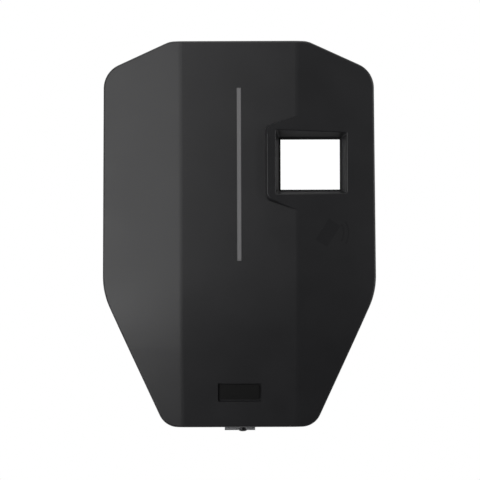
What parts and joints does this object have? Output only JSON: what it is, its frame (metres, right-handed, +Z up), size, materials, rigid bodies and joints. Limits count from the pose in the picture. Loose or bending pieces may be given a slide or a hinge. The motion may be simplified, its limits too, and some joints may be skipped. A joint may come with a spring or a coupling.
{
  "type": "ev wallbox",
  "caption": "Wall-mounted electric-car charger with a faceted cover that hinges up, a recessed display window, a status light strip and cable glands below.",
  "frame": {"origin": "in the plane of the wall, at the middle of the four wall holes", "axes": "+Z up, -Y out of the wall towards the front, +X to the right seen from the front"},
  "size_m": [0.2758, 0.1371, 0.3962],
  "materials": {
    "cover_plastic": "fine moulded grain",
    "diffuser_plastic": "satin, lets light through",
    "circuit_board": "solder mask",
    "led_plastic": "clear cast",
    "seal_rubber": "soft",
    "clear_pane": "polished",
    "display_face": "blank and lit",
    "zinc_steel": "zinc plated",
    "black_steel": "black zinc",
    "nameplate_plastic": "plain and blank",
    "insert_brass": "turned",
    "housing_plastic": "moulded",
    "device_plastic": "moulded",
    "contactor_plastic": "moulded",
    "terminal_line": "moulded",
    "terminal_neutral": "moulded",
    "terminal_earth": "moulded",
    "module_plastic": "potted",
    "connector_plastic": "moulded",
    "gland_plastic": "moulded",
    "toggle_plastic": "moulded",
    "button_plastic": "moulded"
  },
  "bodies": {
    "housing": {"rear_housing": "housing_plastic", "rim_gasket": "seal_rubber", "hinge_pins": "zinc_steel", "device_rail": "zinc_steel", "terminal_rail": "zinc_steel", "rail_screws": "zinc_steel", "breaker_body": "device_plastic", "contactor": "contactor_plastic", "end_stops": "contactor_plastic", "control_board": "circuit_board", "control_board_screws": "zinc_steel", "power_module": "module_plastic", "current_sensor": "module_plastic", "signal_connector": "connector_plastic", "radio_shield": "zinc_steel", "blanking_plug": "gland_plastic", "blanking_nut": "gland_plastic", "latch_bracket": "zinc_steel", "bracket_screws": "zinc_steel", "supply_gland_body": "gland_plastic", "supply_gland_nut": "gland_plastic", "supply_gland_locknut": "gland_plastic", "supply_gland_seal": "seal_rubber", "charging_gland_body": "gland_plastic", "charging_gland_nut": "gland_plastic", "charging_gland_locknut": "gland_plastic", "charging_gland_seal": "seal_rubber", "supply_terminal_earth": "terminal_earth", "supply_terminal_neutral": "terminal_neutral", "supply_terminal_line_1": "terminal_line", "supply_terminal_line_2": "terminal_line", "supply_terminal_line_3": "terminal_line", "outlet_terminal_earth": "terminal_earth", "outlet_terminal_neutral": "terminal_neutral", "outlet_terminal_line_1": "terminal_line", "outlet_terminal_line_2": "terminal_line", "outlet_terminal_line_3": "terminal_line"},
    "cover": {"front_cover": "cover_plastic", "light_guide": "diffuser_plastic", "light_board": "circuit_board", "status_leds": "led_plastic", "window_seal": "seal_rubber", "window_pane": "clear_pane", "display_panel": "display_face", "display_board": "circuit_board", "reader_board": "circuit_board", "cover_board_screws": "zinc_steel", "nameplate": "nameplate_plastic", "threaded_insert": "insert_brass", "cover_screw": "black_steel"},
    "toggle": {"breaker_toggle": "toggle_plastic"},
    "test_button": {"breaker_test_button": "button_plastic"}
  },
  "joints": [
    {"name": "cover_swing", "type": "hinge", "parent": "housing", "child": "cover", "pos_m": [0, -0.086, 0.1835], "axis": [-1, 0, 0], "range_deg": [0, 45]},
    {"name": "toggle_turn", "type": "hinge", "parent": "housing", "child": "toggle", "pos_m": [-0.046, -0.071, 0.101], "axis": [1, 0, 0], "range_deg": [0, 70]},
    {"name": "test_button_press", "type": "slide", "parent": "housing", "child": "test_button", "axis": [0, 1, 0], "range_m": [0, 0.002], "stiffness_N_per_m": 300}
  ]
}
